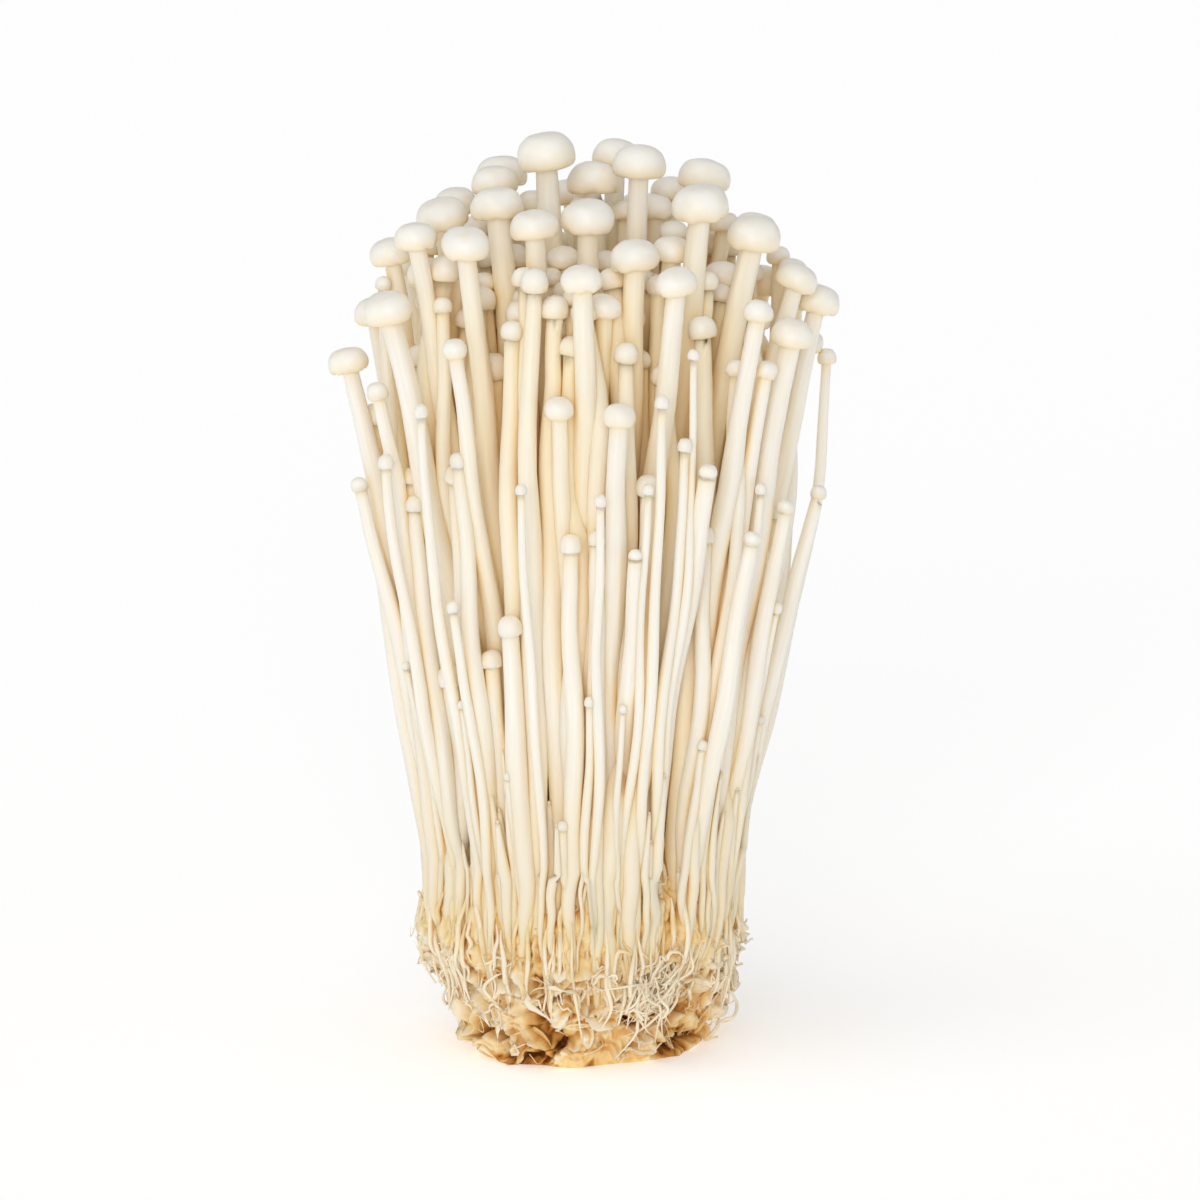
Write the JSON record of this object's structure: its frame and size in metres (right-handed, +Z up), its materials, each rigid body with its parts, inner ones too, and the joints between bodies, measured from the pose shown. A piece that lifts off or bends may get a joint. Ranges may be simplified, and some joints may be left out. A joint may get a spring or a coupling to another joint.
{
  "type": "enoki mushroom bunch",
  "caption": "Tuft of long slender pale mushrooms with small domed caps, fanning up from a rounded block of mycelium that stands on its flat cut face.",
  "frame": {"origin": "centre of the flat cut face of the mycelium block, on the surface that the bunch stands on", "axes": "+Z up along the stems, from the cut face to the caps; -Y towards the front, +X to the right seen from the front"},
  "size_m": [0.0809, 0.0642, 0.149],
  "materials": {
    "mushroom_flesh": "satin",
    "mycelium": "matte"
  },
  "bodies": {
    "root": {"mycelium_block": "mycelium", "short_mushroom_01": "mushroom_flesh", "short_mushroom_02": "mushroom_flesh", "short_mushroom_03": "mushroom_flesh", "short_mushroom_04": "mushroom_flesh", "short_mushroom_05": "mushroom_flesh", "short_mushroom_06": "mushroom_flesh", "short_mushroom_07": "mushroom_flesh", "short_mushroom_08": "mushroom_flesh", "short_mushroom_09": "mushroom_flesh", "short_mushroom_10": "mushroom_flesh", "short_mushroom_11": "mushroom_flesh", "short_mushroom_12": "mushroom_flesh", "short_mushroom_13": "mushroom_flesh", "short_mushroom_14": "mushroom_flesh", "tall_mushroom_01": "mushroom_flesh", "tall_mushroom_02": "mushroom_flesh", "tall_mushroom_03": "mushroom_flesh", "tall_mushroom_04": "mushroom_flesh", "tall_mushroom_05": "mushroom_flesh", "tall_mushroom_06": "mushroom_flesh", "tall_mushroom_07": "mushroom_flesh", "tall_mushroom_08": "mushroom_flesh", "tall_mushroom_09": "mushroom_flesh", "tall_mushroom_10": "mushroom_flesh", "tall_mushroom_11": "mushroom_flesh", "tall_mushroom_12": "mushroom_flesh", "tall_mushroom_13": "mushroom_flesh", "tall_mushroom_14": "mushroom_flesh", "tall_mushroom_15": "mushroom_flesh", "tall_mushroom_16": "mushroom_flesh", "tall_mushroom_17": "mushroom_flesh", "tall_mushroom_18": "mushroom_flesh", "tall_mushroom_19": "mushroom_flesh", "tall_mushroom_20": "mushroom_flesh", "tall_mushroom_21": "mushroom_flesh", "tall_mushroom_22": "mushroom_flesh", "tall_mushroom_23": "mushroom_flesh", "tall_mushroom_24": "mushroom_flesh", "tall_mushroom_25": "mushroom_flesh", "tall_mushroom_26": "mushroom_flesh", "tall_mushroom_27": "mushroom_flesh", "tall_mushroom_28": "mushroom_flesh", "tall_mushroom_29": "mushroom_flesh", "tall_mushroom_30": "mushroom_flesh", "tall_mushroom_31": "mushroom_flesh", "tall_mushroom_32": "mushroom_flesh", "tall_mushroom_33": "mushroom_flesh", "tall_mushroom_34": "mushroom_flesh", "tall_mushroom_35": "mushroom_flesh", "tall_mushroom_36": "mushroom_flesh", "tall_mushroom_37": "mushroom_flesh", "tall_mushroom_38": "mushroom_flesh", "tall_mushroom_39": "mushroom_flesh", "tall_mushroom_40": "mushroom_flesh", "tall_mushroom_41": "mushroom_flesh", "tall_mushroom_42": "mushroom_flesh", "tall_mushroom_43": "mushroom_flesh", "tall_mushroom_44": "mushroom_flesh", "tall_mushroom_45": "mushroom_flesh"}
  },
  "joints": []
}
